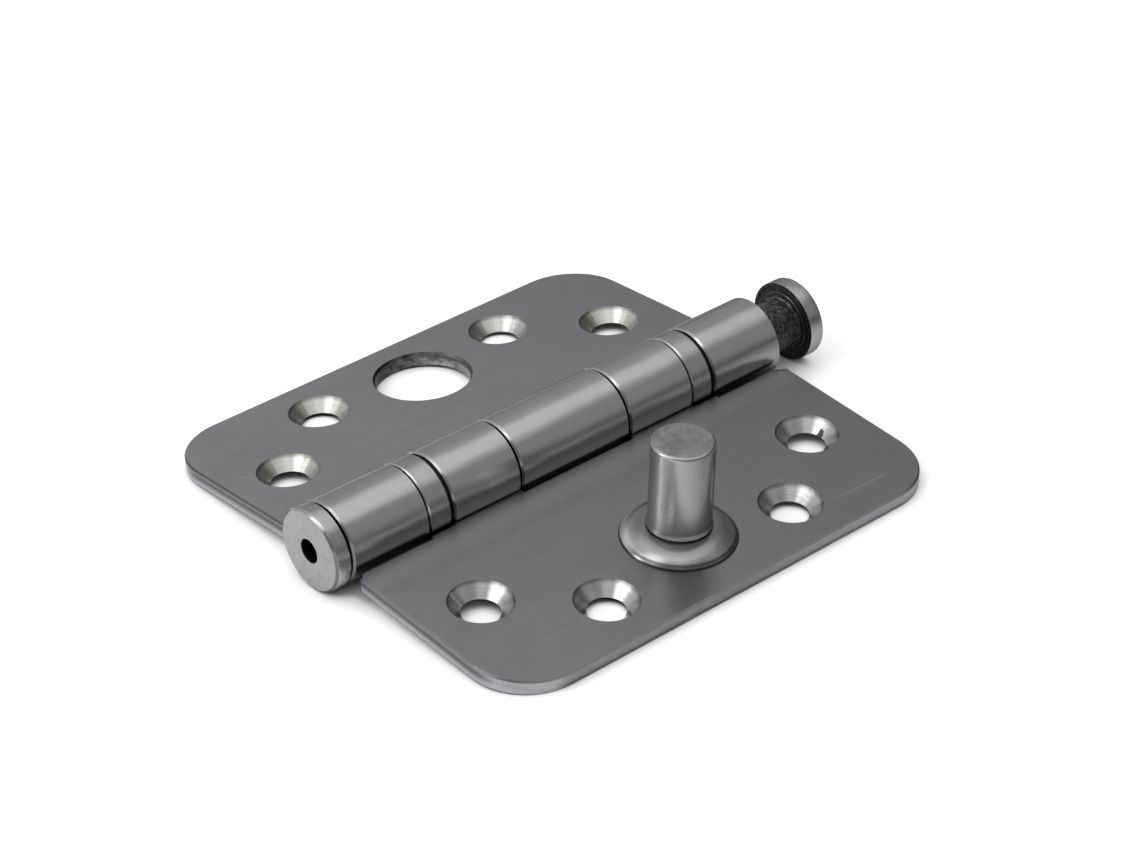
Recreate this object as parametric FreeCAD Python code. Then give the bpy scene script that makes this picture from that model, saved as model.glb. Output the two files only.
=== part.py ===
import FreeCAD, Part
import math
import os

# Ball bearing butt hinge lying on its barrel and on the outer edges of its two leaves.
# Millimetres. The pin axis is the Y axis, +Z is up, and the origin is the middle of the
# barrel on the pin axis. The frame leaf lies towards -X and the door leaf towards +X.

# Leaves: each is one steel strip whose tongues are rolled into knuckles
leaf_length = 89.0
leaf_width = 45.3
leaf_thickness = 2.4
leaf_front_drop = 1.6
corner_radius = 10.5
inner_corner_radius = 1.2
front_edge_chamfer = 0.3

# Barrel and its five knuckles
barrel_radius = 7.0
end_knuckle_length = 14.75
centre_knuckle_length = 22.3
bearing_space = 4.9
knuckle_gap = 0.3
knuckle_chamfer = 0.3
roll_seam = 0.3
roll_blend_radius = 3.0
tongue_root = 9.4

# Clear space between a leaf's edge and the knuckle or bearing that turns beside it
knuckle_notch_clearance = 0.6
bearing_notch_clearance = 0.25

# Screw holes: an inner row by the barrel and an outer row, set in from the leaf's edges
inner_row_margin = 21.1
inner_row_end_margin = 10.5
outer_row_margin = 9.5
outer_row_spacing = 38.2
screw_hole_radius = 3.1
countersink_radius = 5.2
countersink_angle = 90.0

# Security stud on the door leaf and the hole in the frame leaf that takes it
stud_margin = 14.5
stud_radius = 5.05
stud_height = 17.9
stud_chamfer = 0.7
stud_relief_depth = 0.45
stud_relief_rise = 0.3
tenon_radius = 3.6
rivet_radius = 5.0
rivet_depth = 1.4
tenon_clearance = 0.05
stud_hole_offset = 1.8
stud_hole_radius = 8.0
stud_hole_rim_depth = 0.45
stud_hole_rim_flare = 0.35

# Domed washer round the foot of the stud
washer_radius = 9.3
washer_height = 2.2
washer_edge_height = 0.9
washer_edge_chamfer = 0.35
washer_stud_gap = 0.45

# Hinge pin, drawn out of the barrel by pin_drawn_out
pin_clearance = 0.05
pin_head_radius = 6.9
tip_disc_thickness = 2.9
tip_disc_chamfer = 0.45
tip_disc_gap = 0.35
pin_drawn_out = 6.8
pin_end_chamfer = 1.0
tip_shoulder_radius = 5.2

# End cap pressed into the near knuckle, with a hole to drive the pin out through
cap_plug_length = 5.0
cap_press_clearance = 0.01
knock_out_radius = 1.95
cap_pin_space = 1.0

# Thrust ball bearings between knuckles 1 and 2 and between knuckles 4 and 5
shell_wall = 0.4
shell_seat_gap = 0.12
shell_running_gap = 0.65
shell_chamfer = 0.25
race_side_clearance = 0.05
race_seat_gap = 0.05
ball_radius = 0.7
ball_count = 6
ball_sides = 12
ball_bands = 6
ball_clearance = 0.03
cage_thickness = 0.7
cage_pocket_clearance = 0.06

half_length = leaf_length / 2
bore_radius = barrel_radius - leaf_thickness
pin_radius = bore_radius - pin_clearance
front_level = -leaf_front_drop
back_level = front_level - leaf_thickness
centre_end = centre_knuckle_length / 2
bearing_outer_end = half_length - end_knuckle_length
bearing_inner_end = bearing_outer_end - bearing_space
door_knuckle_start = centre_end + knuckle_gap
outer_edge_distance = math.hypot(leaf_width, back_level)
tilt = math.asin(barrel_radius / outer_edge_distance) - math.atan(-back_level / leaf_width)
tilt_deg = math.degrees(tilt)
seam_angle = math.asin(front_level / barrel_radius)
seam_sweep = roll_seam / barrel_radius
inner_row_distance = leaf_width - inner_row_margin
inner_row_spacing = leaf_length - 2 * inner_row_end_margin
outer_row_distance = leaf_width - outer_row_margin
stud_distance = leaf_width - stud_margin
stud_hole_distance = stud_distance + stud_hole_offset

X_AXIS = FreeCAD.Vector(1, 0, 0)
Y_AXIS = FreeCAD.Vector(0, 1, 0)
Z_AXIS = FreeCAD.Vector(0, 0, 1)
ORIGIN = FreeCAD.Vector(0, 0, 0)

frame_knuckles = [
    (-half_length, -bearing_outer_end),
    (-centre_end, centre_end),
    (bearing_outer_end, half_length),
]
door_knuckles = [
    (-bearing_inner_end, -door_knuckle_start),
    (door_knuckle_start, bearing_inner_end),
]

def at(x, y, z):
    return FreeCAD.Vector(x, y, z)


def line(start, end):
    return Part.LineSegment(start, end).toShape()


def arc(start, middle, end):
    return Part.Arc(start, middle, end).toShape()


def polar(radius, angle, y=0.0):
    return at(radius * math.cos(angle), y, radius * math.sin(angle))


def polygon_face(points):
    edges = [line(a, b) for a, b in zip(points, points[1:] + points[:1])]
    return Part.Face(Part.Wire(edges))


def turned(section, degrees=360.0):
    """Solid turned from a list of (radius, y) corners about the pin axis."""
    return polygon_face([at(r, y, 0) for r, y in section]).revolve(ORIGIN, Y_AXIS, degrees)


def upright(section, x):
    """Solid turned from a list of (radius, z) corners about an upright axis at x."""
    face = polygon_face([at(x + r, 0, z) for r, z in section])
    return face.revolve(at(x, 0, 0), Z_AXIS, 360.0)


def plain_ring(inner, outer, low, high):
    return turned([(inner, low), (outer, low), (outer, high), (inner, high)])


def chamfered_ring(inner, outer, low, high, chamfer):
    return turned([
        (inner, low),
        (outer - chamfer, low),
        (outer, low + chamfer),
        (outer, high - chamfer),
        (outer - chamfer, high),
        (inner, high),
    ])


def rolled_knuckle(low, high):
    """A tongue rolled under, round and over the pin until its end meets the leaf's front."""
    ring = chamfered_ring(bore_radius, barrel_radius, low, high, knuckle_chamfer)
    reach = 2 * barrel_radius
    seam = polygon_face([
        ORIGIN,
        polar(reach, seam_angle),
        polar(reach, seam_angle + seam_sweep),
    ]).extrude(Y_AXIS * (high - low))
    seam.translate(at(0, low, 0))
    return ring.cut(seam).fuse(tongue(low, high))


def tongue(low, high):
    """The flat stretch that runs from the plate into the underside of a knuckle."""
    fillet_level = back_level - roll_blend_radius
    fillet_reach = barrel_radius + roll_blend_radius
    fillet_angle = math.asin(fillet_level / fillet_reach)
    fillet_x = fillet_reach * math.cos(fillet_angle)
    touch = polar(barrel_radius, fillet_angle)
    middle_angle = (math.pi / 2 + fillet_angle + math.pi) / 2
    middle = at(
        fillet_x + roll_blend_radius * math.cos(middle_angle),
        0,
        fillet_level + roll_blend_radius * math.sin(middle_angle),
    )
    inside_radius = (bore_radius + barrel_radius) / 2
    corners = [
        at(tongue_root, 0, front_level),
        polar(barrel_radius, seam_angle),
        polar(inside_radius, seam_angle),
        polar(inside_radius, fillet_angle),
        touch,
    ]
    edges = [line(a, b) for a, b in zip(corners, corners[1:])]
    edges.append(arc(touch, middle, at(fillet_x, 0, back_level)))
    edges.append(line(at(fillet_x, 0, back_level), at(tongue_root, 0, back_level)))
    edges.append(line(at(tongue_root, 0, back_level), at(tongue_root, 0, front_level)))
    solid = Part.Face(Part.Wire(edges)).extrude(Y_AXIS * (high - low))
    solid.translate(at(0, low, 0))
    return solid


def notch_box(low, high, clearance):
    """Space cut from a plate for what turns beside it."""
    reach = barrel_radius + clearance
    return Part.makeBox(reach, high - low, leaf_thickness, at(0, low, back_level))


def rounded(solid, radius, wanted):
    return solid.makeFillet(radius, [e for e in solid.Edges if wanted(e)])


def chamfered(solid, size, wanted):
    return solid.makeChamfer(size, [e for e in solid.Edges if wanted(e)])


def is_upright_at(edge, x, y):
    box = edge.BoundBox
    stands = box.ZLength > leaf_thickness / 2
    near = abs(box.XMin - x) < 0.01 and abs(box.XMax - x) < 0.01
    return stands and near and abs(abs(box.YMin) - y) < 0.01


def lies_outside_at(edge, level):
    box = edge.BoundBox
    flat = abs(box.ZMin - level) < 0.01 and abs(box.ZMax - level) < 0.01
    return flat and box.XMax > tongue_root


def plate(own_knuckles, other_knuckles):
    """The flat part of a leaf, lying towards +X, with its notches and round corners."""
    inner_edge = barrel_radius + bearing_notch_clearance
    width = leaf_width - inner_edge
    solid = Part.makeBox(width, leaf_length, leaf_thickness, at(inner_edge, -half_length, back_level))
    for low, high in own_knuckles + other_knuckles:
        solid = solid.cut(notch_box(low, high, knuckle_notch_clearance))
    for low, high in [(centre_end, door_knuckle_start), (-door_knuckle_start, -centre_end)]:
        solid = solid.cut(notch_box(low, high, knuckle_notch_clearance))
    notch_edge = barrel_radius + knuckle_notch_clearance
    solid = rounded(solid, corner_radius, lambda e: is_upright_at(e, leaf_width, half_length))
    solid = rounded(solid, inner_corner_radius, lambda e: is_upright_at(e, notch_edge, half_length))
    return chamfered(solid, front_edge_chamfer, lambda e: lies_outside_at(e, front_level))


def screw_hole(x, y):
    slope = math.tan(math.radians(countersink_angle / 2))
    cone_depth = (countersink_radius - screw_hole_radius) / slope
    tool = upright([
        (0, back_level - 1),
        (screw_hole_radius, back_level - 1),
        (screw_hole_radius, front_level - cone_depth),
        (countersink_radius, front_level),
        (countersink_radius, front_level + 1),
        (0, front_level + 1),
    ], x)
    tool.translate(at(0, y, 0))
    return tool


def screw_holes():
    places = []
    for x, spacing in [(inner_row_distance, inner_row_spacing), (outer_row_distance, outer_row_spacing)]:
        places += [(x, -spacing / 2), (x, spacing / 2)]
    return [screw_hole(x, y) for x, y in places]


def leaf(own_knuckles, other_knuckles):
    solid = plate(own_knuckles, other_knuckles)
    for low, high in own_knuckles:
        solid = solid.fuse(rolled_knuckle(low, high))
    for tool in screw_holes():
        solid = solid.cut(tool)
    return solid.removeSplitter()


def lowered(solid):
    """Turn a piece of the door leaf from level to its lying slope."""
    return solid.rotated(ORIGIN, Y_AXIS, tilt_deg)


def frame_side(solid):
    """Mirror a piece to the frame side and turn it to its lying slope."""
    return solid.mirror(ORIGIN, X_AXIS).rotated(ORIGIN, Y_AXIS, -tilt_deg)


def stud_hole_tool():
    """Plain hole with a rim that the punch has drawn in."""
    rim = stud_hole_radius + stud_hole_rim_flare
    return upright([
        (0, back_level - 1),
        (stud_hole_radius, back_level - 1),
        (stud_hole_radius, front_level - stud_hole_rim_depth),
        (rim, front_level),
        (rim, front_level + 1),
        (0, front_level + 1),
    ], stud_hole_distance)


def frame_leaf():
    solid = leaf(frame_knuckles, door_knuckles)
    return frame_side(solid.cut(stud_hole_tool()))


def rivet_section(clearance):
    shank = tenon_radius + clearance
    return [
        (0, front_level),
        (shank, front_level),
        (shank, back_level + rivet_depth),
        (rivet_radius + clearance, back_level),
        (0, back_level),
    ]


def door_leaf():
    solid = leaf(door_knuckles, frame_knuckles)
    return lowered(solid.cut(upright(rivet_section(tenon_clearance), stud_distance)))


def security_stud():
    """Stud whose foot is relieved where the washer stands round it, riveted through the leaf."""
    top = front_level + stud_height
    foot_top = front_level + washer_height + stud_relief_rise
    shank = upright([
        (0, front_level),
        (stud_radius - stud_relief_depth, front_level),
        (stud_radius - stud_relief_depth, foot_top),
        (stud_radius, foot_top),
        (stud_radius, top - stud_chamfer),
        (stud_radius - stud_chamfer, top),
        (0, top),
    ], stud_distance)
    return lowered(shank.fuse(upright(rivet_section(0.0), stud_distance)))


def stud_washer():
    """Flange washer that falls from the stud to a low rounded edge."""
    inner = stud_radius + washer_stud_gap
    edge = front_level + washer_edge_height
    return lowered(upright([
        (inner, front_level),
        (washer_radius, front_level),
        (washer_radius, edge - washer_edge_chamfer),
        (washer_radius - washer_edge_chamfer, edge),
        (inner, front_level + washer_height),
    ], stud_distance))


def tip_disc(inner_face, side, radius):
    """Corners of a barrel tip from its outer face's rim to its shoulder, side being outwards."""
    outer_face = inner_face + side * tip_disc_thickness
    return [
        (radius - tip_disc_chamfer, outer_face),
        (radius, outer_face - side * tip_disc_chamfer),
        (radius, inner_face),
        (tip_shoulder_radius, inner_face),
        (tip_shoulder_radius, inner_face - side * tip_disc_gap),
    ]


def end_cap():
    """Turned plug whose disc covers the near knuckle and whose stem is pressed into it."""
    stem = bore_radius - cap_press_clearance
    disc_inner = -half_length - tip_disc_gap
    disc_outer = disc_inner - tip_disc_thickness
    stem_end = -half_length + cap_plug_length
    return turned([
        (knock_out_radius, stem_end),
        (knock_out_radius, disc_outer),
    ] + tip_disc(disc_inner, -1, barrel_radius) + [
        (stem, -half_length),
        (stem, stem_end),
    ])


def hinge_pin():
    """Pin with a head like the end cap's disc and a chamfered end."""
    under_head = half_length + tip_disc_gap + pin_drawn_out
    end = -half_length + cap_plug_length + cap_pin_space + pin_drawn_out
    return turned([
        (0, end),
        (0, under_head + tip_disc_thickness),
    ] + tip_disc(under_head, 1, pin_head_radius) + [
        (pin_radius, under_head - tip_disc_gap),
        (pin_radius, end + pin_end_chamfer),
        (pin_radius - pin_end_chamfer, end),
    ])


race_inner = bore_radius + race_side_clearance
race_outer = barrel_radius - shell_wall - race_side_clearance
pitch_radius = (race_inner + race_outer) / 2
race_face_distance = ball_radius + ball_clearance
race_thickness = (bearing_space - 2 * race_seat_gap) / 2 - race_face_distance


def race(middle, side):
    """Flat hardened washer, side being the way from the balls to its knuckle."""
    face = middle + side * race_face_distance
    back = face + side * race_thickness
    return plain_ring(race_inner, race_outer, min(face, back), max(face, back))


def ball_centres(middle):
    turns = [2 * math.pi * i / ball_count for i in range(ball_count)]
    return [polar(pitch_radius, turn, middle) for turn in turns]


def ball(centre):
    """Ball of flat facets: rings of corners between two poles."""
    south = centre - Y_AXIS * ball_radius
    north = centre + Y_AXIS * ball_radius
    rings = []
    for i in range(1, ball_bands):
        height = math.pi * i / ball_bands - math.pi / 2
        reach = ball_radius * math.cos(height)
        level = ball_radius * math.sin(height)
        turns = [2 * math.pi * k / ball_sides for k in range(ball_sides)]
        rings.append([centre + polar(reach, turn, level) for turn in turns])
    faces = []
    for k in range(ball_sides):
        faces.append(polygon_face([south, rings[0][k], rings[0][k - 1]]))
        faces.append(polygon_face([north, rings[-1][k], rings[-1][k - 1]]))
        for low, high in zip(rings, rings[1:]):
            faces.append(polygon_face([low[k], low[k - 1], high[k - 1], high[k]]))
    return Part.Solid(Part.Shell(faces))


def ball_cage(middle):
    """Flat ring with a drilled pocket for each ball."""
    low = middle - cage_thickness / 2
    cage = plain_ring(race_inner, race_outer, low, low + cage_thickness)
    pocket_radius = ball_radius + cage_pocket_clearance
    for centre in ball_centres(middle):
        start = at(centre.x, low, centre.z)
        cage = cage.cut(Part.makeCylinder(pocket_radius, cage_thickness, start, Y_AXIS))
    return cage


def bearing_shell(seat, side):
    """Visible steel ring that stands on its knuckle and shrouds both races."""
    start = seat + side * shell_seat_gap
    end = seat + side * (bearing_space - shell_running_gap)
    low, high = min(start, end), max(start, end)
    return chamfered_ring(barrel_radius - shell_wall, barrel_radius, low, high, shell_chamfer)


def bearing(name, seat, side):
    """Pieces of one bearing, side being the way from its seat to the turning knuckle."""
    middle = seat + side * bearing_space / 2
    pieces = {
        name + "_bearing_shell": bearing_shell(seat, side),
        name + "_seated_race": race(middle, -side),
        name + "_running_race": race(middle, side),
        name + "_ball_cage": ball_cage(middle),
    }
    for number, centre in enumerate(ball_centres(middle), 1):
        pieces["%s_ball_%02d" % (name, number)] = ball(centre)
    return pieces


def assembly():
    pieces = {
        "frame_leaf": frame_leaf(),
        "door_leaf": door_leaf(),
        "security_stud": security_stud(),
        "stud_washer": stud_washer(),
        "hinge_pin": hinge_pin(),
        "end_cap": end_cap(),
    }
    pieces.update(bearing("near", -bearing_outer_end, 1))
    pieces.update(bearing("far", bearing_inner_end, 1))
    return pieces


os.makedirs("parts", exist_ok=True)
for name, shape in assembly().items():
    shape.exportStep("parts/" + name + ".step")
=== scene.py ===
import math

import bmesh
import bpy
from mathutils import Matrix, Vector, noise


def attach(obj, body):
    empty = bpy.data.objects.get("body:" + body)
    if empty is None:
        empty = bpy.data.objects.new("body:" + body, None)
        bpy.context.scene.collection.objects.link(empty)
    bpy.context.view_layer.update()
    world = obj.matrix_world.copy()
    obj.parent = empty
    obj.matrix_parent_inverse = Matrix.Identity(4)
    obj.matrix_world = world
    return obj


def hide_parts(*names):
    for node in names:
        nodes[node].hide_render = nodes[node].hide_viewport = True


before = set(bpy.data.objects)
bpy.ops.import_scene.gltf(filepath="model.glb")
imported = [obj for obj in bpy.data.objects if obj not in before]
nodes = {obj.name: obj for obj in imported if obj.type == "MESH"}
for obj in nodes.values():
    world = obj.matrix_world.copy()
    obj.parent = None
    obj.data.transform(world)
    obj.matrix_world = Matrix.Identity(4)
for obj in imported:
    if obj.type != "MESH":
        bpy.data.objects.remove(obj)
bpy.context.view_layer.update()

# Sizes in millimetres, as in the solids: radii, levels, and places across a leaf or along the pin
BARREL = 7.0
BORE = 4.6
FRONT = -1.6
BACK = -4.0
WIDTH = 45.3
FLAT = 9.3
INNER_HOLE = (24.2, 34.0)
OUTER_HOLE = (35.8, 19.1)
COUNTERSINK = 5.2
SCREW_HOLE = 3.1
BURR = (23.95, 37.3, 0.0)
STUD = 30.8
STUD_HOLE = (32.6, 8.0)
STUD_RADIUS = 5.05
STUD_TOP_LEVEL = FRONT + 17.9
STUD_FOOT_LEVEL = FRONT + 2.5
TENON = 3.6
RIVET = 5.0
WASHER_RADIUS = 9.3
WASHER_HEIGHT = 2.25
WASHER_FALL = 1.75
CAP_FACE_Y = -47.75
CAP_BACK_Y = -44.95
CAP_SEAT_Y = -44.5
CAP_END_Y = -39.5
CAP_HOLE = 1.95
CAP_NECK = 5.2
CAP_PLUG = 4.59
PIN = 4.55
PIN_END_Y = -31.7
SHANK_END_Y = 30.0
NECK_Y = (43.0, 51.42)
SHOULDER = 5.2
HEAD_BACK_Y = 51.65
HEAD_RADIUS = 6.9
HEAD_THICKNESS = 2.9
HEAD_RING = 6.2

# Slope of a leaf that rests on the table
TILT = math.asin(BARREL / math.hypot(WIDTH, BACK)) - math.atan(-BACK / WIDTH)

# Steps round a turned piece, along a rounded corner, the washer's dome and the pin's neck
TURNS = 128
ARC_STEPS = 5
DOME_STEPS = 14
NECK_ROWS = 40

# Half the width of the table, in metres
FLOOR_HALF = 3.0

# Tones that several finishes share, and the factor of painted light at the near end of a leaf
BLACK = (0.008, 0.008, 0.008)
DARK = (0.02, 0.02, 0.02)
WHITE = (1.0, 1.0, 1.0, 1.0)
FLOOR_TONE = (0.9, 0.9, 0.9)
BARREL_TONE = (0.45, 0.452, 0.464)
RIM_TONE = (0.43, 0.432, 0.44)
EDGE_TONE = (0.4, 0.4, 0.405)
NEAR_END_LIGHT = 1.08


def leaf_place(point, side):
    """Distance u from the pin axis, level v and length y of a point, in millimetres."""
    x = side * point[0] * 1000
    z = point[2] * 1000
    u = x * math.cos(TILT) - z * math.sin(TILT)
    v = x * math.sin(TILT) + z * math.cos(TILT)
    return u, v, point[1] * 1000


def from_leaf(u, v, y, side):
    """Point at u, v and y millimetres of a leaf."""
    x = side * (u * math.cos(TILT) + v * math.sin(TILT))
    z = -u * math.sin(TILT) + v * math.cos(TILT)
    return Vector((x, y, z)) / 1000


def leaf_axis(side):
    """Direction away from a leaf's front face."""
    return Vector((side * math.sin(TILT), 0, math.cos(TILT)))


def times(color, factor):
    """The colour with each channel times factor, at most 1."""
    return tuple(min(1.0, channel * factor) for channel in color)


class Finish:
    """A material and short ways to wire its nodes."""

    def __init__(self, name, color, roughness, metallic=1.0):
        self.material = bpy.data.materials.new(name)
        self.material.use_nodes = True
        self.tree = self.material.node_tree
        self.tree.nodes.clear()
        self.output = self.add("ShaderNodeOutputMaterial")
        self.shader = self.add("ShaderNodeBsdfPrincipled")
        self.shader.inputs["Base Color"].default_value = (*color, 1)
        self.shader.inputs["Roughness"].default_value = roughness
        self.shader.inputs["Metallic"].default_value = metallic
        self.link(self.shader.outputs[0], self.output.inputs[0])
        self.place = self.millimetres()
        self.normal = None

    def add(self, kind, **settings):
        node = self.tree.nodes.new(kind)
        for key, value in settings.items():
            setattr(node, key, value)
        return node

    def link(self, source, target):
        if isinstance(source, (int, float)):
            target.default_value = source
        elif isinstance(source, (tuple, list, Vector)):
            target.default_value = tuple(source)
        else:
            self.tree.links.new(source, target)

    def millimetres(self):
        coordinates = self.add("ShaderNodeTexCoord")
        return self.vector("SCALE", coordinates.outputs["Object"], scale=1000.0)

    def vector(self, operation, first, second=None, scale=None):
        node = self.add("ShaderNodeVectorMath", operation=operation)
        self.link(first, node.inputs[0])
        if second is not None:
            self.link(second, node.inputs[1])
        if scale is not None:
            node.inputs["Scale"].default_value = scale
        name = "Value" if operation in ("LENGTH", "DOT_PRODUCT", "DISTANCE") else "Vector"
        return node.outputs[name]

    def math(self, operation, first, second=0.0):
        node = self.add("ShaderNodeMath", operation=operation)
        self.link(first, node.inputs[0])
        self.link(second, node.inputs[1])
        return node.outputs[0]

    def product(self, first, second):
        return self.math("MULTIPLY", first, second)

    def sum(self, first, second):
        return self.math("ADD", first, second)

    def difference(self, first, second):
        return self.math("SUBTRACT", first, second)

    def absolute(self, value):
        return self.math("ABSOLUTE", value)

    def weighted(self, first, share, second, other):
        """first times share plus second times other."""
        return self.sum(self.product(first, share), self.product(second, other))

    def length(self, first, second):
        """Length of the flat vector (first, second)."""
        return self.math("SQRT", self.sum(self.product(first, first), self.product(second, second)))

    def split(self, vector):
        node = self.add("ShaderNodeSeparateXYZ")
        self.link(vector, node.inputs[0])
        return node.outputs

    def join(self, x, y, z):
        node = self.add("ShaderNodeCombineXYZ")
        for value, target in zip((x, y, z), node.inputs):
            self.link(value, target)
        return node.outputs[0]

    def noise(self, vector, scale=1.0, detail=2.0, rough=0.5):
        node = self.add("ShaderNodeTexNoise")
        self.link(vector, node.inputs["Vector"])
        node.inputs["Scale"].default_value = scale
        node.inputs["Detail"].default_value = detail
        node.inputs["Roughness"].default_value = rough
        return node.outputs["Fac"]

    def stretched(self, x, y, z, detail=2.0, rough=0.5):
        """Noise with its own frequency, per millimetre, along each axis."""
        return self.noise(self.vector("MULTIPLY", self.place, (x, y, z)), detail=detail, rough=rough)

    def lined(self, parts, rates, detail, rough=0.5):
        """Noise over a vector of parts, with a frequency per millimetre for each part."""
        return self.noise(self.vector("MULTIPLY", self.join(*parts), rates), detail=detail, rough=rough)

    def ramp(self, value, low, high, start, end):
        """Goes from start to end while value goes from low to high."""
        node = self.add("ShaderNodeMapRange")
        node.clamp = True
        for source, target in zip((value, low, high, start, end), node.inputs):
            self.link(source, target)
        return node.outputs[0]

    def mix(self, share, first, second):
        node = self.add("ShaderNodeMix", data_type="RGBA")
        self.link(share, node.inputs[0])
        for source, target in ((first, node.inputs[6]), (second, node.inputs[7])):
            self.link((*source, 1) if isinstance(source, tuple) else source, target)
        return node.outputs[2]

    def tint(self, color, dark, light, value):
        """Base colour that goes from dark to light times color with value."""
        low = times(color, dark)
        high = times(color, light)
        self.color = self.mix(value, low, high)
        self.link(self.color, self.shader.inputs["Base Color"])

    def over(self, share, color):
        """Lays color over the base colour so far."""
        self.color = self.mix(share, self.color, color)
        self.link(self.color, self.shader.inputs["Base Color"])

    def paint_crevice_shade(self, reach, closed, open_air):
        """Paints shade: blackens the metal where little is open within reach millimetres of it."""
        node = self.add("ShaderNodeAmbientOcclusion", samples=8)
        node.inputs["Distance"].default_value = reach / 1000
        self.over(self.ramp(node.outputs["AO"], closed, open_air, 1.0, 0.0), BLACK)

    def glint(self, level):
        """Dims what the metal reflects at grazing angles."""
        self.shader.inputs["Specular Tint"].default_value = (level, level, level, 1)

    def rough(self, value, low, high):
        self.link(self.ramp(value, 0.0, 1.0, low, high), self.shader.inputs["Roughness"])

    def bump(self, height, depth, strength=1.0):
        """Bump whose depth is in millimetres; calls stack."""
        node = self.add("ShaderNodeBump")
        node.inputs["Strength"].default_value = strength
        node.inputs["Distance"].default_value = depth / 1000
        self.link(height, node.inputs["Height"])
        if self.normal is not None:
            self.link(self.normal, node.inputs["Normal"])
        self.normal = node.outputs["Normal"]
        self.link(self.normal, self.shader.inputs["Normal"])

    def soft_edges(self, radius):
        node = self.add("ShaderNodeBevel")
        node.samples = 6
        node.inputs["Radius"].default_value = radius / 1000
        self.normal = node.outputs["Normal"]
        self.link(self.normal, self.shader.inputs["Normal"])

    def surface_normal(self):
        return self.add("ShaderNodeNewGeometry").outputs["Normal"]

    def to_world(self, direction):
        node = self.add("ShaderNodeVectorTransform", vector_type="VECTOR")
        node.convert_from = "OBJECT"
        node.convert_to = "WORLD"
        self.link(direction, node.inputs[0])
        return node.outputs[0]

    def spread(self, amount, tangent):
        """Stretches reflections by amount along tangent."""
        self.shader.inputs["Anisotropic"].default_value = amount
        self.link(self.vector("NORMALIZE", tangent), self.shader.inputs["Tangent"])

    def brushed(self, amount, direction):
        """Spreads reflections across the brush lines, which run along direction."""
        self.spread(amount, self.vector("CROSS_PRODUCT", direction, self.surface_normal()))

    def turned_about(self, amount, axis):
        """Spreads reflections across turning lines that circle the axis."""
        normal = self.surface_normal()
        round_way = self.vector("CROSS_PRODUCT", self.to_world(tuple(axis)), normal)
        self.spread(amount, self.vector("CROSS_PRODUCT", round_way, normal))

    def faced_about_y(self, amount):
        """Spreads reflections across lines that circle the pin axis on a flat end."""
        x, y, z = self.split(self.place)
        self.spread(amount, self.to_world(self.join(x, 0.0, z)))

    def leaf_coordinates(self):
        """u, v and y in millimetres, alike on both leaves."""
        x, y, z = self.split(self.place)
        x = self.absolute(x)
        u = self.weighted(x, math.cos(TILT), z, -math.sin(TILT))
        v = self.weighted(x, math.sin(TILT), z, math.cos(TILT))
        return u, v, y

    def distance(self, u, y, centre):
        """Distance from the nearer of two holes at centre and its mirror image."""
        return self.length(self.difference(u, centre[0]), self.difference(self.absolute(y), centre[1]))


def leaf_face(name, color, far_shade, foot_light, with_scratch_and_crease_light):
    """Rolled sheet, brushed lengthwise, with painted shade towards its far end, painted light at its
    near end and beside the barrel.
    """
    f = Finish(name, color, 0.36)
    f.glint(0.7)
    f.soft_edges(0.12)
    streaks = f.stretched(9.0, 0.16, 9.0, 3.0, 0.6)
    broad = f.stretched(0.9, 0.03, 0.9, 2.0, 0.5)
    cloud = f.stretched(0.09, 0.07, 0.09, 4.0, 0.6)
    grain = f.weighted(streaks, 0.5, broad, 0.5)
    f.tint(color, 0.72, 1.28, grain)
    u, v, y = f.leaf_coordinates()
    # Painted shade grows towards the far end and painted light towards the near end
    along = f.ramp(y, -45.0, 45.0, 0.0, 1.0)
    f.over(f.product(along, 0.6), times(color, far_shade))
    f.over(f.product(f.difference(1.0, along), 0.6), times(color, NEAR_END_LIGHT))
    f.over(f.ramp(cloud, 0.38, 0.66, 0.0, 0.4), times(color, 0.8))
    f.over(f.ramp(f.noise(f.place, 0.9, 5.0, 0.7), 0.5, 0.72, 0.0, 0.3), times(color, 0.72))
    # Painted light beside the barrel
    f.over(f.ramp(u, 9.0, 13.5, 0.8, 0.0), times(color, foot_light))
    if with_scratch_and_crease_light:
        scratch_and_crease_light(f, color, u, y)
    # Painted shade in crevices
    f.paint_crevice_shade(1.0, 0.15, 0.45)
    f.rough(f.stretched(5.0, 0.08, 5.0, 2.0), 0.28, 0.4)
    f.bump(streaks, 0.006)
    f.bump(f.stretched(0.12, 0.1, 0.12, 2.0), 0.05, 0.4)
    f.brushed(0.4, (0, 1, 0))
    return f.material


def scratch_and_crease_light(f, color, u, y):
    """A faint scratch by the outer far corner, and at the inner one a crease drawn as a line of painted
    shade beside a bent strip lit by a painted highlight.
    """
    slant = f.difference(u, f.sum(f.product(y, 0.03), 38.8))
    scratch = f.ramp(f.absolute(slant), 0.08, 0.4, 0.35, 0.0)
    ends = f.product(f.ramp(y, 24.0, 27.0, 0.0, 1.0), f.ramp(y, 35.0, 38.0, 1.0, 0.0))
    f.over(f.product(scratch, ends), times(color, 1.5))
    bend = f.product(f.ramp(y, 41.5, 45.0, 0.0, 1.0), 2.0)
    beyond = f.difference(u, f.sum(bend, 7.7))
    there = f.ramp(y, 38.0, 40.5, 0.0, 1.0)
    # Painted highlight on the bent strip beyond the crease
    f.over(f.product(there, f.ramp(beyond, -0.1, 0.1, 0.8, 0.0)), times(color, 2.3))
    # Painted shade along the crease
    crease = f.ramp(f.absolute(beyond), 0.06, 0.3, 1.0, 0.0)
    f.over(f.product(there, crease), times(color, 0.3))


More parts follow.
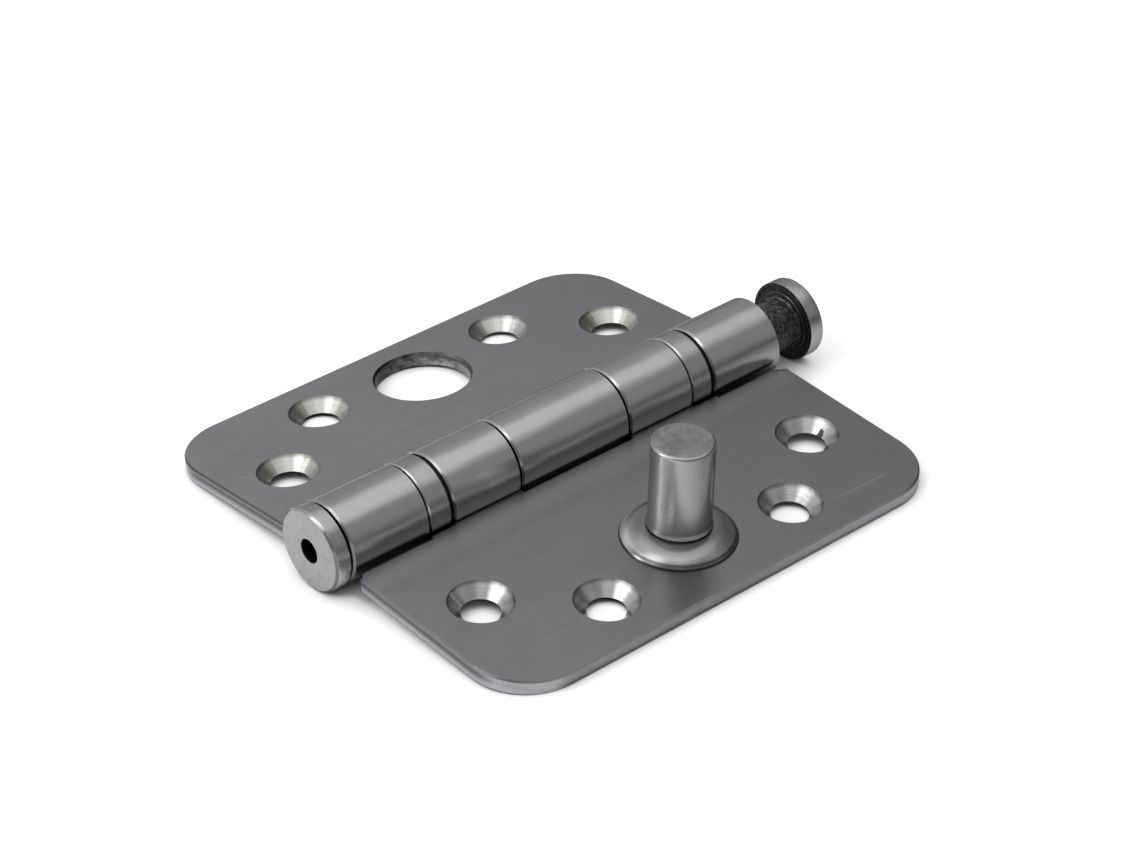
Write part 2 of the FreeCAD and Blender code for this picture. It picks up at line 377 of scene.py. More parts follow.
def barrel_steel(name, color):
    """Rolled knuckle, brushed along the pin axis."""
    f = Finish(name, color, 0.24)
    f.glint(0.55)
    f.soft_edges(0.1)
    streaks = f.stretched(5.0, 0.05, 5.0, 4.0, 0.65)
    bands = f.stretched(1.3, 0.02, 1.3, 2.0, 0.5)
    blotches = f.stretched(0.5, 0.25, 0.5, 4.0, 0.65)
    grain = f.weighted(streaks, 0.45, bands, 0.3)
    f.tint(color, 0.74, 1.24, f.sum(grain, f.product(blotches, 0.25)))
    # Painted shade in crevices
    f.paint_crevice_shade(2.2, 0.42, 0.68)
    f.rough(bands, 0.18, 0.3)
    f.bump(streaks, 0.01)
    f.bump(bands, 0.02, 0.6)
    f.bump(f.stretched(0.16, 0.07, 0.16, 1.0), 0.22)
    f.brushed(0.25, (0, 1, 0))
    return f.material


def ring_steel(name, color, lines, shade=(2.2, 0.42, 0.68), under=None):
    """Steel with fine lines round the pin axis; under is the factor of painted light on what faces
    down.
    """
    f = Finish(name, color, 0.26)
    f.glint(0.55)
    f.soft_edges(0.08)
    streaks = f.stretched(0.25, lines, 0.25, 4.0, 0.65)
    f.tint(color, 0.78, 1.2, streaks)
    f.over(f.ramp(f.noise(f.place, 0.7, 4.0, 0.65), 0.5, 0.75, 0.0, 0.35), times(color, 0.7))
    # Painted light on the faces that turn down
    if under:
        up = f.split(f.surface_normal())[2]
        f.over(f.ramp(up, 0.2, 0.3, 0.85, 0.0), times(color, under))
    # Painted shade in crevices
    f.paint_crevice_shade(*shade)
    f.rough(streaks, 0.2, 0.34)
    f.bump(streaks, 0.008)
    f.turned_about(0.3, (0, 1, 0))
    return f.material


def bright_edge(name, color):
    """Broken edge at a knuckle's end, bright where it faces up, with painted shade where it faces down.
    """
    f = Finish(name, color, 0.22)
    f.glint(0.5)
    f.tint(color, 0.7, 1.15, f.stretched(1.5, 1.5, 1.5, 3.0))
    up = f.split(f.surface_normal())[2]
    # Painted shade where the edge faces down
    f.over(f.ramp(up, 0.15, 0.5, 0.8, 0.0), times(color, 0.25))
    # Painted shade in crevices
    f.paint_crevice_shade(1.5, 0.3, 0.7)
    return f.material


def outline_edge(name, outer, end):
    """Broken front edge of a leaf: outer along the long side, end across the ends, where the darker end
    tone is painted shade.
    """
    f = Finish(name, outer, 0.34)
    facing = f.split(f.surface_normal())[1]
    f.tint(outer, 0.85, 1.12, f.noise(f.place, 1.2, 4.0, 0.6))
    # The ends take the darker end tone, painted shade
    f.over(f.ramp(f.absolute(facing), 0.2, 0.6, 0.0, 1.0), end)
    return f.material


def edge_band(name, color):
    """Sheared side face of a leaf, with a dark line, low on the outer side and high at the ends;
    painted shade darkens the ends, a painted highlight lights the corners, and painted light lights the
    outer side towards the far end.
    """
    f = Finish(name, color, 0.42)
    f.soft_edges(0.2)
    u, v, y = f.leaf_coordinates()
    torn = f.stretched(0.7, 0.7, 2.4, 4.0, 0.7)
    f.tint(color, 0.55, 1.4, torn)
    turning = f.absolute(f.split(f.surface_normal())[1])
    end = f.ramp(turning, 0.4, 0.8, 0.0, 1.0)
    # Painted shade on the ends
    f.over(end, times(color, 0.5))
    corner = f.product(f.ramp(turning, 0.05, 0.3, 0.0, 0.8), f.ramp(turning, 0.92, 1.0, 1.0, 0.0))
    level = f.ramp(end, 0.0, 1.0, -3.6, -2.7)
    wave = f.product(f.difference(f.noise(f.place, 0.25), 0.5), 0.6)
    off = f.absolute(f.difference(f.sum(v, wave), level))
    f.over(f.ramp(off, 0.08, 0.4, 0.6, 0.0), times(color, 0.2))
    f.over(f.product(f.ramp(v, -2.3, -1.9, 0.0, 0.5), end), color)
    low = f.product(f.ramp(v, -2.8, -3.9, 0.0, 1.0), end)
    f.over(f.product(low, f.ramp(torn, 0.3, 0.7, 0.7, 1.0)), times(color, 1.6))
    # Painted highlight on the corners
    f.over(f.product(corner, f.ramp(torn, 0.3, 0.7, 0.6, 1.0)), times(color, 1.6))
    # Painted light along the outer side towards the far end
    side = f.difference(1.0, f.ramp(turning, 0.85, 0.98, 0.0, 1.0))
    far = f.product(side, f.ramp(y, 0.0, 42.0, 0.0, 0.9))
    f.over(f.product(far, f.ramp(off, 0.08, 0.4, 0.5, 1.0)), times(color, 2.2))
    f.rough(torn, 0.34, 0.55)
    f.bump(torn, 0.04)
    return f.material


def countersinks(name, color, side):
    """Turned cones with painted shade along the rim, and a burr in the far inner one of the door leaf.
    """
    f = Finish(name, color, 0.2)
    u, v, y = f.leaf_coordinates()
    reach = f.math("MINIMUM", f.distance(u, y, INNER_HOLE), f.distance(u, y, OUTER_HOLE))
    rings = f.lined((reach, u, y), (7.0, 0.15, 0.15), 3.0, 0.6)
    f.tint(color, 0.78, 1.14, rings)
    f.over(f.ramp(f.noise(f.place, 0.8, 4.0, 0.65), 0.5, 0.75, 0.0, 0.3), times(color, 0.7))
    f.rough(rings, 0.2, 0.3)
    f.bump(rings, 0.01)
    # Painted shade along the rim
    rim = f.ramp(reach, COUNTERSINK - 0.55, COUNTERSINK - 0.1, 0.0, 0.8)
    f.over(rim, times(color, 0.25))
    if side > 0:
        spot = f.vector("DISTANCE", f.join(u, y, 0.0), BURR)
        ragged = f.sum(spot, f.product(f.noise(f.place, 1.2, 3.0), 1.2))
        f.over(f.ramp(ragged, 1.1, 1.25, 0.9, 0.0), (0.01, 0.01, 0.01))
    f.turned_about(0.35, leaf_axis(side))
    return f.material


def hole_wall(name, color):
    """Wall of a hole: mottled torn metal, with painted shade to the left and along the top, and painted
    light low down and to the right.
    """
    f = Finish(name, color, 0.45)
    f.soft_edges(0.2)
    torn = f.stretched(0.55, 0.55, 1.5, 5.0, 0.75)
    f.tint(color, 0.2, 1.7, f.ramp(torn, 0.38, 0.66, 0.0, 1.0))
    u, v, y = f.leaf_coordinates()
    across = f.sum(f.product(f.difference(STUD_HOLE[0], u), 0.65), f.product(y, 0.76))
    # Painted light low on the wall
    low = f.product(f.ramp(v, -2.2, -2.9, 0.0, 1.0), f.ramp(across, -3.0, 3.0, 0.1, 1.0))
    f.over(f.product(low, f.ramp(torn, 0.42, 0.6, 0.2, 0.9)), times(color, 2.6))
    # Painted shade to the left and painted light to the right
    f.over(f.ramp(across, -8.0, 0.0, 0.85, 0.0), times(color, 0.15))
    f.over(f.ramp(across, 3.5, 7.5, 0.0, 0.6), times(color, 1.4))
    # Painted shade along the top
    upper = f.product(f.ramp(v, -3.0, -2.4, 0.0, 0.75), f.ramp(across, -2.0, 2.0, 0.0, 1.0))
    f.over(upper, times(color, 0.4))
    f.rough(torn, 0.3, 0.6)
    f.bump(torn, 0.1)
    return f.material


def stud_steel(name, color):
    """Turned side of the stud, with painted light on the side that faces front."""
    f = Finish(name, color, 0.26, 0.78)
    f.glint(0.6)
    u, v, y = f.leaf_coordinates()
    lines = f.lined((u, y, v), (0.2, 0.2, 5.0), 4.0, 0.65)
    bands = f.lined((u, y, v), (0.8, 0.8, 0.12), 4.0)
    f.tint(color, 0.7, 1.28, f.weighted(lines, 0.45, bands, 0.55))
    f.over(f.ramp(f.noise(f.place, 0.6, 5.0, 0.7), 0.55, 0.75, 0.0, 0.5), times(color, 0.6))
    # Painted light on the side that faces front
    du = f.difference(u, STUD)
    front = f.weighted(du, 0.57 / STUD_RADIUS, y, -0.82 / STUD_RADIUS)
    front = f.product(f.ramp(front, 0.62, 0.86, 0.0, 0.85), f.ramp(v, 1.5, 5.0, 0.0, 1.0))
    f.over(front, times(color, 1.45))
    # Painted shade in crevices
    f.paint_crevice_shade(0.5, 0.2, 0.5)
    f.rough(bands, 0.2, 0.32)
    f.bump(lines, 0.01)
    f.turned_about(0.4, leaf_axis(1))
    return f.material


def stud_top(name, color):
    """Faced end of the stud, mottled, with a shallow centre mark."""
    f = Finish(name, color, 0.42)
    f.soft_edges(0.2)
    u, v, y = f.leaf_coordinates()
    du = f.difference(u, STUD)
    reach = f.length(du, y)
    rings = f.lined((reach, 0.0, 0.0), (4.0, 1.0, 1.0), 3.0)
    mottle = f.ramp(f.noise(f.place, 0.55, 4.0, 0.6), 0.3, 0.7, 0.0, 1.0)
    f.tint(color, 0.64, 1.34, f.weighted(mottle, 0.7, rings, 0.3))
    f.over(f.ramp(reach, 0.5, 3.5, 0.5, 0.0), times(color, 0.78))
    f.rough(mottle, 0.32, 0.46)
    f.bump(rings, 0.01)
    f.bump(f.ramp(reach, 0.0, 1.3, 0.0, 1.0), 0.12, 0.7)
    return f.material


def washer_steel(name, color):
    """Pressed dome with painted shade near the stud, a dark line and an outline of painted shade by its
    edge, darker to the right, and painted light to the left.
    """
    f = Finish(name, color, 0.28, 0.82)
    f.glint(0.6)
    u, v, y = f.leaf_coordinates()
    du = f.difference(u, STUD)
    reach = f.length(du, y)
    rings = f.lined((reach, u, 0.0), (3.0, 0.1, 1.0), 3.0)
    mottle = f.noise(f.place, 0.7, 5.0, 0.65)
    f.tint(color, 0.74, 1.24, f.weighted(mottle, 0.7, rings, 0.3))
    # Painted shade near the stud
    f.over(f.ramp(reach, 6.3, 8.0, 0.9, 0.0), times(color, 0.54))
    # Painted shade line and rim by the edge, darker to the right
    right = f.math("DIVIDE", f.weighted(du, 0.94, y, -0.34), reach)
    right = f.ramp(right, -0.35, 0.45, 0.1, 1.0)
    shade_line = f.absolute(f.difference(reach, WASHER_RADIUS - 0.42))
    f.over(f.product(right, f.ramp(shade_line, 0.06, 0.3, 0.8, 0.0)), (0.03, 0.03, 0.03))
    rim = f.ramp(reach, WASHER_RADIUS - 0.35, WASHER_RADIUS - 0.25, 0.0, 0.6)
    f.over(f.product(right, rim), times(color, 0.3))
    # Painted shade as a dark outline where the edge meets the leaf
    outline = f.ramp(reach, WASHER_RADIUS - 0.2, WASHER_RADIUS - 0.08, 0.0, 0.85)
    f.over(outline, DARK)
    # Painted light on the left side
    left = f.math("DIVIDE", f.weighted(du, -0.87, y, -0.5), reach)
    left = f.product(f.ramp(left, 0.55, 0.9, 0.0, 0.9), f.ramp(reach, 7.8, 8.7, 0.0, 1.0))
    f.over(f.product(left, f.ramp(reach, 9.05, 9.15, 1.0, 0.0)), times(color, 2.3))
    # Painted shade in crevices
    f.paint_crevice_shade(0.8, 0.2, 0.5)
    f.rough(mottle, 0.2, 0.32)
    f.bump(rings, 0.01)
    return f.material


def turned_face(name, color, spots):
    """Face turned about the pin axis, with fine rings and small marks."""
    f = Finish(name, color, 0.36)
    x, y, z = f.split(f.place)
    reach = f.length(x, z)
    rings = f.lined((reach, x, z), (5.0, 0.1, 0.1), 4.0, 0.6)
    f.tint(color, 0.86, 1.12, rings)
    marks = f.noise(f.place, 1.1, 5.0, 0.7)
    f.over(f.ramp(marks, 0.5, 0.66, 0.0, spots), times(color, 0.72))
    f.rough(rings, 0.3, 0.42)
    f.bump(rings, 0.008)
    f.bump(marks, 0.02)
    f.faced_about_y(0.3)
    return f.material


def dark_flecked_finish(name, color):
    """Near-black finish with pale flecks, and lighter knurl spots on the pin's neck; flecks and spots
    are painted highlights.
    """
    f = Finish(name, color, 0.4, 0.5)
    flecks = f.noise(f.place, 1.5, 5.0, 0.7)
    f.tint(color, 0.3, 1.2, flecks)
    # Painted highlights as pale flecks
    f.over(f.ramp(flecks, 0.54, 0.68, 0.0, 0.6), times(color, 10.0))
    x, y, z = f.split(f.place)
    reach = f.length(x, z)
    # Painted highlights on the knurl of the neck
    knurl = f.ramp(f.noise(f.place, 1.6, 1.5, 0.6), 0.42, 0.58, 0.0, 0.8)
    neck = f.product(f.ramp(reach, 4.7, 4.9, 1.0, 0.0), knurl)
    f.over(neck, times(color, 5.0))
    f.rough(flecks, 0.25, 0.5)
    f.bump(flecks, 0.12)
    return f.material


def plain_metal(name, color, roughness):
    """Even metal with a slight grain, for pieces inside the barrel."""
    f = Finish(name, color, roughness)
    grain = f.noise(f.place, 3.0, 3.0)
    f.tint(color, 0.9, 1.08, grain)
    f.bump(grain, 0.003)
    return f.material


def assign(mesh, palette, choose):
    """Gives each face of a mesh the finish that choose names for its middle and normal."""
    mesh.materials.clear()
    names = list(palette)
    for name in names:
        mesh.materials.append(palette[name])
    for face in mesh.polygons:
        face.material_index = names.index(choose(face.center, face.normal))


def near(value, target, slack):
    """Whether value lies within slack of target."""
    return abs(value - target) < slack


def paint_leaf(node, side, face, barrel):
    """Tells a leaf's faces apart by their place and the way they look."""
    cone = (0.565, 0.558, 0.56 if side > 0 else 0.53)
    palette = {
        "face": face,
        "barrel": barrel,
        "bright": BRIGHT,
        "outline": OUTLINE,
        "edge": EDGE,
        "countersink": countersinks(node + "_countersinks", cone, side),
        "wall": WALL,
        "bored": BORED_WALL_SHADE,
        "dark": GAP_SHADE,
    }
    axis = leaf_axis(side)

    def choose(centre, normal):
        u, v, y = leaf_place(centre, side)
        reach = math.hypot(centre.x, centre.z) * 1000
        up = normal.dot(axis)
        on_axis = abs(normal.y)
        hole = min(math.hypot(u - u0, abs(y) - y0) for u0, y0 in (INNER_HOLE, OUTER_HOLE))
        if hole < COUNTERSINK + 0.1 and 0.5 < up < 0.9:
            return "countersink"
        if hole < SCREW_HOLE + 0.2 and abs(up) < 0.3:
            return "bored"
        large = math.hypot(u - STUD_HOLE[0], y)
        if side < 0 and near(large, STUD_HOLE[1] + 0.1, 0.35) and up < 0.95:
            return "wall"
        if u > FLAT:
            return "face" if abs(up) > 0.9 else "outline" if up > 0.3 else "edge"
        # Bores and knuckle ends take near-black painted shade
        if reach < BORE + 0.1 and on_axis < 0.5:
            return "dark"
        if on_axis > 0.9:
            return "dark" if reach < BARREL - 0.1 or u < BARREL + 0.2 else "edge"
        if on_axis > 0.4:
            return "bright" if reach > BARREL - 0.4 else "outline"
        if up > 0.95 and near(v, FRONT, 0.1) and u > BARREL - 1.0:
            return "face"
        return "barrel"

    assign(nodes[node].data, palette, choose)


def only(centre, normal):
    """The choice of a piece with one finish."""
    return "only"


def softened(corners):
    """Profile through (radius, level, rounding) corners, with an arc at each rounding."""
    points = []
    for i, (r, h, rounding) in enumerate(corners):
        here = Vector((r, h))
        if rounding == 0 or i in (0, len(corners) - 1):
            points.append(here)
            continue
        before = (Vector(corners[i - 1][:2]) - here).normalized()
        after = (Vector(corners[i + 1][:2]) - here).normalized()
        half = before.angle(after) / 2
        start = here + before * rounding / math.tan(half)
        end = here + after * rounding / math.tan(half)
        for k in range(ARC_STEPS + 1):
            t = k / ARC_STEPS
            points.append(start * (1 - t) ** 2 + here * 2 * t * (1 - t) + end * t * t)
    return points


def turned_piece(name, profile, place, palette, choose, body, replaced):
    """Piece turned from a profile; place gives the point at a radius, an angle and a level."""
    points = []
    rows = []
    for r, h in profile:
        count = 1 if r < 1e-6 else TURNS
        rows.append(range(len(points), len(points) + count))
        points += [place(r, 2 * math.pi * k / TURNS, h) for k in range(count)]
    faces = []
    for first, second in zip(rows, rows[1:]):
        for k in range(TURNS):
            ring = [first[k % len(first)], first[(k + 1) % len(first)]]
            ring += [second[(k + 1) % len(second)], second[k % len(second)]]
            kept = [p for i, p in enumerate(ring) if p not in ring[:i]]
            if len(kept) > 2:
                faces.append(kept)
    mesh = bpy.data.meshes.new(name)
    mesh.from_pydata(points, [], faces)
    build = bmesh.new()
    build.from_mesh(mesh)
    bmesh.ops.recalc_face_normals(build, faces=build.faces)
    build.to_mesh(mesh)
    build.free()
    mesh.shade_smooth()
    mesh.set_sharp_from_angle(angle=math.radians(32))
    piece = bpy.data.objects.new(name, mesh)
    bpy.context.scene.collection.objects.link(piece)
    assign(mesh, palette, choose)
    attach(piece, body)
    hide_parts(replaced)
    return piece


def about_stud(r, turn, v):
    """Point at a radius and an angle round the stud, at level v."""
    return from_leaf(STUD + r * math.cos(turn), v, r * math.sin(turn), 1)


def about_pin(r, turn, y):
    """Point at a radius and an angle round the pin axis, at length y."""
    return Vector((r * math.cos(turn), y, r * math.sin(turn))) / 1000


def add_stud():
    """Stud with a riveted tenon, a relieved foot and a rounded top."""
    axis = leaf_axis(1)

    def choose(centre, normal):
        v = leaf_place(centre, 1)[1]
        if v < FRONT + 0.01:
            return "back"
        up = normal.dot(axis)
        if up > 0.93:
            return "top"
        return "edge" if up > 0.15 and v > STUD_TOP_LEVEL - 1.0 else "side"

    profile = softened([
        (0, BACK, 0),
        (RIVET, BACK, 0),
        (TENON, BACK + 1.4, 0),
        (TENON, FRONT, 0),
        (STUD_RADIUS - 0.3, FRONT, 0),
        (STUD_RADIUS - 0.3, STUD_FOOT_LEVEL, 0),
        (STUD_RADIUS + 0.1, STUD_FOOT_LEVEL + 0.04, 0),
        (STUD_RADIUS + 0.2, STUD_FOOT_LEVEL + 0.14, 0),
        (STUD_RADIUS + 0.16, STUD_FOOT_LEVEL + 0.28, 0),
        (STUD_RADIUS + 0.04, STUD_FOOT_LEVEL + 0.5, 0),
        (STUD_RADIUS, STUD_FOOT_LEVEL + 1.0, 0),
        (STUD_RADIUS - 0.05, STUD_TOP_LEVEL, 0.62),
        (STUD_RADIUS - 2.0, STUD_TOP_LEVEL, 0),
        (0, STUD_TOP_LEVEL, 0),
    ])
    palette = {"side": STUD_SIDE, "top": STUD_TOP, "edge": STUD_EDGE, "back": EDGE}
    piece = turned_piece(
        "stud_turned", profile, about_stud, palette, choose, "door_side", "security_stud")


def add_washer():
    """Pressed washer: its dome falls ever faster to a bevel with a thin edge on the leaf."""
    inner = STUD_RADIUS + 0.2
    dome = WASHER_RADIUS - 0.3 - inner
    profile = [Vector((inner, FRONT))]
    for k in range(DOME_STEPS + 1):
        share = k / DOME_STEPS
        level = FRONT + WASHER_HEIGHT - WASHER_FALL * share ** 2.4
        profile.append(Vector((inner + dome * share, level)))
    profile += softened([
        (WASHER_RADIUS - 0.12, FRONT + 0.3, 0),
        (WASHER_RADIUS, FRONT + 0.12, 0.05),
        (WASHER_RADIUS, FRONT, 0),
    ])
    profile.append(profile[0])
    piece = turned_piece(
        "washer_pressed", profile, about_stud, {"only": WASHER}, only, "door_side", "stud_washer")


def add_cap():
    """Cap plug with a hole, and a dark line of painted shade where its rim meets the knuckle."""
    def choose(centre, normal):
        reach = math.hypot(centre.x, centre.z) * 1000
        # The hole, the back and a band by the knuckle take near-black painted shade
        if reach < CAP_HOLE + 0.2 or normal.y > 0.5 or centre.y * 1000 > CAP_BACK_Y - 0.17:
            return "dark"
        if normal.y < -0.9:
            return "face"
        return "bright" if normal.y < -0.4 and reach > BARREL - 1.0 else "rim"

    profile = softened([
        (CAP_HOLE, CAP_END_Y, 0),
        (CAP_HOLE, CAP_FACE_Y, 0.12),
        (BARREL - 0.4, CAP_FACE_Y, 0.05),
        (BARREL, CAP_FACE_Y + 0.4, 0.05),
        (BARREL, CAP_BACK_Y - 0.18, 0),
        (BARREL, CAP_BACK_Y, 0.06),
        (CAP_NECK, CAP_BACK_Y, 0),
        (CAP_NECK, CAP_SEAT_Y, 0),
        (CAP_PLUG, CAP_SEAT_Y, 0),
        (CAP_PLUG, CAP_END_Y, 0),
    ])
    profile.append(profile[0])
    palette = {"face": CAP_FACE, "rim": CAP_RIM, "dark": GAP_SHADE, "bright": BRIGHT}
    piece = turned_piece(
        "cap_turned", profile, about_pin, palette, choose, "frame_side", "end_cap")


def add_pin():
    """Pin with a rough dark neck, a step and a disc head with a V-cut ring under it."""
    def choose(centre, normal):
        reach = math.hypot(centre.x, centre.z) * 1000
        if centre.y * 1000 < SHANK_END_Y:
            return "shank"
        if normal.y > 0.9:
            return "face"
        if near(reach, SHOULDER, 0.12) and centre.y * 1000 > NECK_Y[1] - 0.12:
            return "shank"
        return "rim" if reach > HEAD_RADIUS - 0.45 and normal.y > -0.5 else "neck"

    profile = softened([
        (0, PIN_END_Y, 0),
        (PIN - 1.0, PIN_END_Y, 0),
        (PIN, PIN_END_Y + 1.0, 0),
        (PIN, SHANK_END_Y, 0),
        (PIN, NECK_Y[0], 0),
    ])
    step = (NECK_Y[1] - NECK_Y[0]) / NECK_ROWS
    profile += [Vector((PIN, NECK_Y[0] + step * (k + 1))) for k in range(NECK_ROWS)]
    profile += softened([
        (SHOULDER, NECK_Y[1], 0),
        (SHOULDER, HEAD_BACK_Y, 0.08),
        (HEAD_RING - 0.1, HEAD_BACK_Y, 0),
        (HEAD_RING, HEAD_BACK_Y + 0.12, 0),
        (HEAD_RING + 0.1, HEAD_BACK_Y, 0),
        (HEAD_RADIUS, HEAD_BACK_Y, 0.15),
        (HEAD_RADIUS, HEAD_BACK_Y + HEAD_THICKNESS, 0.45),
        (0, HEAD_BACK_Y + HEAD_THICKNESS, 0),
    ])

    def place(r, turn, y):
        if NECK_Y[0] < y < NECK_Y[1] - 0.01:
            spot = Vector((r * math.cos(turn), y, r * math.sin(turn)))
            r -= 0.26 + 0.12 * noise.noise(spot * 1.1) + 0.1 * noise.noise(spot * 3.1)
        return about_pin(r, turn, y)

    palette = {"shank": SHANK, "neck": NECK_FINISH, "rim": CAP_RIM, "face": CAP_FACE}
    piece = turned_piece("pin_turned", profile, place, palette, choose, "pin", "hinge_pin")


BRIGHT = bright_edge("bright_edge", EDGE_TONE)
OUTLINE = outline_edge("outline_edge", (0.42, 0.425, 0.435), (0.11, 0.112, 0.118))
EDGE = edge_band("sheared_edge", (0.295, 0.298, 0.31))
WALL = hole_wall("punched_wall", (0.16, 0.162, 0.168))
# Screw-hole walls: a near-black tone that is painted shade
BORED_WALL_SHADE = hole_wall("bored_wall_shade", (0.05, 0.05, 0.05))
# Near-black painted shade for bores, knuckle ends, the cap's hole and its joint line
GAP_SHADE = plain_metal("gap_shade_black", DARK, 0.5)
STUD_SIDE = stud_steel("turned_stud", (0.345, 0.338, 0.341))
STUD_TOP = stud_top("stud_end", (0.315, 0.315, 0.32))
STUD_EDGE = ring_steel("stud_top_edge", EDGE_TONE, 1.5)
CAP_FACE = turned_face("turned_cap_face", (0.335, 0.337, 0.348), 0.7)
# The rim takes painted light on its underside
CAP_RIM = ring_steel("turned_rim", RIM_TONE, 5.0, under=1.5)
NECK_FINISH = dark_flecked_finish("dark_neck", (0.02, 0.02, 0.021))
SHANK = ring_steel("oiled_shank", (0.2, 0.2, 0.2), 3.0)
WASHER = washer_steel("pressed_washer", (0.385, 0.39, 0.402))
# Bearing rings: deeper painted shade in their crevices
RING = ring_steel("ring_steel", RIM_TONE, 4.0, (3.5, 0.53, 0.75))
# Leaf faces: factor of painted shade at the far end, and of painted light beside the barrel
FRAME_FACE = leaf_face("frame_leaf_face", (0.378, 0.379, 0.392), 0.7, 1.08, False)
DOOR_FACE = leaf_face("door_leaf_face", (0.276, 0.279, 0.286), 0.8, 1.42, True)

paint_leaf("frame_leaf", -1, FRAME_FACE, barrel_steel("frame_barrel", BARREL_TONE))
paint_leaf("door_leaf", 1, DOOR_FACE, barrel_steel("door_barrel", BARREL_TONE))
add_stud()
add_washer()
add_cap()
add_pin()

# Finish of each bearing part, by the first of these that its name holds
BEARING = (
    ("_shell", RING),
    # Races: near-black painted shade
    ("_race", plain_metal("race_shade_black", DARK, 0.3)),
    ("_ball_cage", plain_metal("cage_brass_finish", (0.72, 0.52, 0.25), 0.35)),
    ("_ball_", plain_metal("polished_ball", (0.7, 0.7, 0.7), 0.1)),
)
for name in nodes:
    finish = next((finish for part, finish in BEARING if part in name), None)
    if finish:
        assign(nodes[name].data, {"only": finish}, only)


def add_floor():
    """Table that glows to read white for the camera, with painted shadow where the hinge closes it in,
    and painted shade for other rays away from the hinge.
    """
    mesh = bpy.data.meshes.new("floor")
    level = -BARREL / 1000 - 0.00001
    signs = ((-1, -1), (1, -1), (1, 1), (-1, 1))
    mesh.from_pydata([(FLOOR_HALF * x, FLOOR_HALF * y, level) for x, y in signs], [], [(0, 1, 2, 3)])
    floor = bpy.data.objects.new("floor", mesh)
    bpy.context.scene.collection.objects.link(floor)
    f = Finish("floor_white", FLOOR_TONE, 0.9, 0.0)
    f.shader.inputs["Specular IOR Level"].default_value = 0.0
    f.shader.inputs["Emission Color"].default_value = WHITE
    # Painted shadow: glow and colour drop where the hinge closes the floor in
    shadow = f.add("ShaderNodeAmbientOcclusion", samples=8)
    shadow.inputs["Distance"].default_value = BARREL / 1000
    open_air = shadow.outputs["AO"]
    # Painted shade for other rays, growing away from the hinge
    ways = ((0.84, 0.54, 0.0), (0.25, 0.97, 0.0))
    away = f.math("MAXIMUM", *(f.vector("DOT_PRODUCT", f.place, way) for way in ways))
    path = f.add("ShaderNodeLightPath").outputs
    seen = f.math("MAXIMUM", path["Is Camera Ray"], path["Is Transmission Ray"])
    seen = f.math("MAXIMUM", seen, f.product(path["Is Glossy Ray"], 0.3))
    fade = f.math("MAXIMUM", seen, f.ramp(away, 5.0, 80.0, 1.0, 0.3))
    glow = f.product(fade, f.ramp(open_air, 0.1, 0.86, 0.0, 0.42))
    f.link(glow, f.shader.inputs["Emission Strength"])
    f.tint(FLOOR_TONE, 0.02, 1.0, f.product(fade, f.ramp(open_air, 0.05, 0.35, 0.0, 1.0)))
    clear = f.add("ShaderNodeBsdfTransparent")
    blend = f.add("ShaderNodeMixShader")
    f.link(f.add("ShaderNodeNewGeometry").outputs["Backfacing"], blend.inputs[0])
    f.link(f.shader.outputs[0], blend.inputs[1])
    f.link(clear.outputs[0], blend.inputs[2])
    f.link(blend.outputs[0], f.output.inputs[0])
    mesh.materials.append(f.material)


# Bright patches of the surroundings: direction, strength, degrees to its full part and to its end
PATCHES = (
    ((-0.05, 0.06, 0.997), 1.06, 32, 43),
    ((-0.03, -0.64, 0.77), 2.35, 10, 17),
    ((-0.12, -0.76, 0.64), 1.7, 8, 16),
    ((-0.4, -0.66, 0.64), 0.33, 8, 20),
    ((0.66, 0.54, 0.5), 0.13, 8, 24),
    ((0.45, -0.35, 0.82), 0.49, 8, 20),
    ((-0.42, -0.8, 0.42), 22.3, 4, 9),
    ((-0.81, -0.41, 0.42), 0.55, 15, 40),
    ((-0.74, 0.54, 0.4), 0.24, 12, 32),
)

# Dark patches that take a share of that light away, written the same way
SHADES = (
    ((0.1, 0.98, 0.12), 0.65, 15, 45),
    ((0.8, 0.6, -0.04), 0.7, 8, 19),
)

# Light between the patches, and the share of the white background that metal reflects
SURROUND = 0.3
GLOSSY_WHITE = 0.1


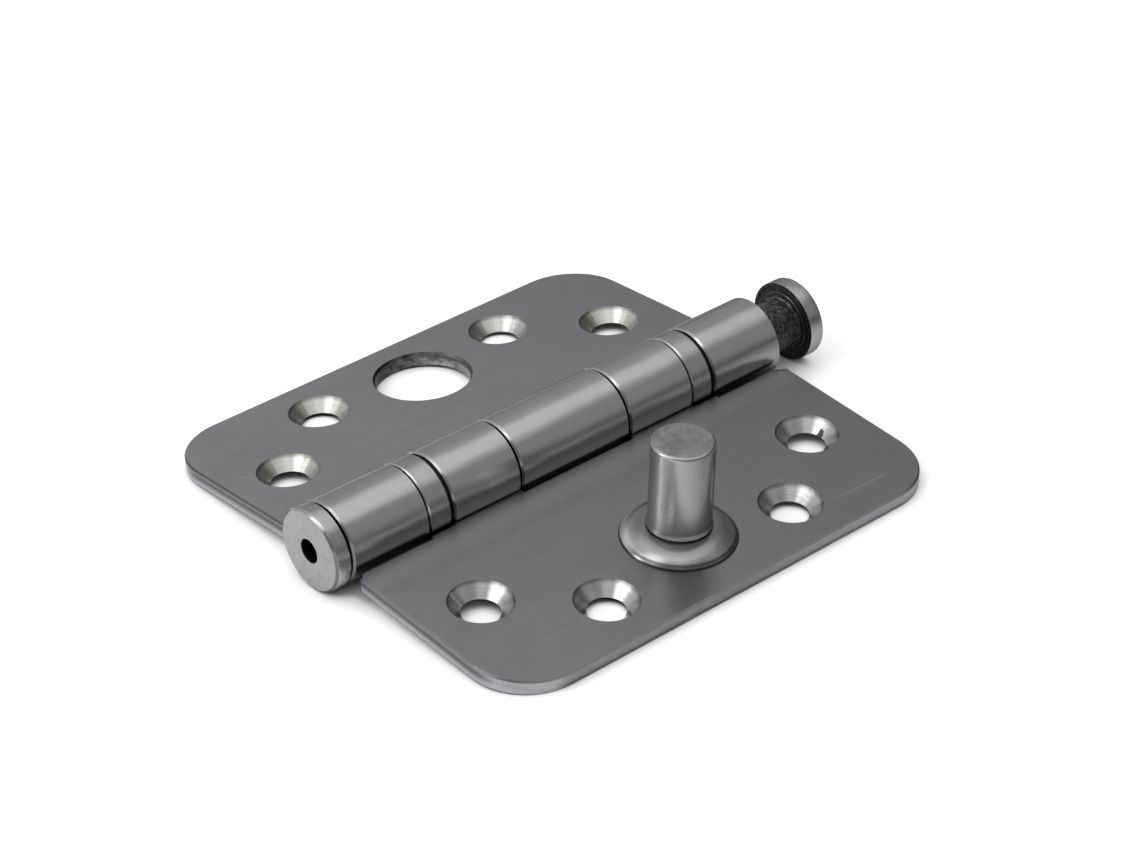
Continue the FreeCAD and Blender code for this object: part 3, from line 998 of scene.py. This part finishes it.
def add_world():
    """White for the camera and through glass, and the patches of light for all else."""
    world = bpy.data.worlds.new("studio")
    bpy.context.scene.world = world
    world.use_nodes = True
    tree = world.node_tree
    tree.nodes.clear()
    output = tree.nodes.new("ShaderNodeOutputWorld")
    light = tree.nodes.new("ShaderNodeBackground")
    white = tree.nodes.new("ShaderNodeBackground")
    blend = tree.nodes.new("ShaderNodeMixShader")
    path = tree.nodes.new("ShaderNodeLightPath")
    coordinates = tree.nodes.new("ShaderNodeTexCoord")

    def patch(direction, strength, inner, outer):
        dot = tree.nodes.new("ShaderNodeVectorMath")
        dot.operation = "DOT_PRODUCT"
        tree.links.new(coordinates.outputs["Generated"], dot.inputs[0])
        dot.inputs[1].default_value = tuple(Vector(direction).normalized())
        fade = tree.nodes.new("ShaderNodeMapRange")
        fade.interpolation_type = "SMOOTHSTEP"
        tree.links.new(dot.outputs["Value"], fade.inputs[0])
        fade.inputs[1].default_value = math.cos(math.radians(outer))
        fade.inputs[2].default_value = math.cos(math.radians(inner))
        fade.inputs[3].default_value = 0.0
        fade.inputs[4].default_value = strength
        return fade.outputs[0]

    def combine(operation, first, second):
        node = tree.nodes.new("ShaderNodeMath")
        node.operation = operation
        for value, target in ((first, node.inputs[0]), (second, node.inputs[1])):
            if isinstance(value, float):
                target.default_value = value
            else:
                tree.links.new(value, target)
        return node.outputs[0]

    total = SURROUND
    for entry in PATCHES:
        total = combine("ADD", patch(*entry), total)
    seen = combine("MULTIPLY", path.outputs["Is Glossy Ray"], GLOSSY_WHITE)
    for entry in SHADES:
        left = combine("SUBTRACT", 1.0, patch(*entry))
        total = combine("MULTIPLY", total, left)
        seen = combine("MULTIPLY", seen, left)
    for kind in ("Is Camera Ray", "Is Transmission Ray"):
        seen = combine("MAXIMUM", seen, path.outputs[kind])
    tree.links.new(total, light.inputs["Strength"])
    white.inputs["Color"].default_value = WHITE
    tree.links.new(seen, blend.inputs[0])
    tree.links.new(light.outputs[0], blend.inputs[1])
    tree.links.new(white.outputs[0], blend.inputs[2])
    tree.links.new(blend.outputs[0], output.inputs[0])


def add_camera():
    """Camera whose lens, axes and place were fitted to the photo."""
    data = bpy.data.cameras.new("camera")
    data.sensor_width = 36.0
    data.lens = 103.21
    data.clip_start = 0.01
    data.clip_end = 20.0
    camera = bpy.data.objects.new("camera", data)
    bpy.context.scene.collection.objects.link(camera)
    right = Vector((0.6539499, 0.7562706, -0.0201095))
    up = Vector((-0.3989613, 0.3673239, 0.8401803))
    back = Vector((0.6427904, -0.5414129, 0.5419341))
    place = Vector((0.336381, -0.278862, 0.283045))
    matrix = Matrix((right, up, back)).transposed().to_4x4()
    matrix.translation = place
    camera.matrix_world = matrix
    bpy.context.scene.camera = camera


add_floor()
add_world()
add_camera()
bpy.context.scene.view_settings.view_transform = "Standard"
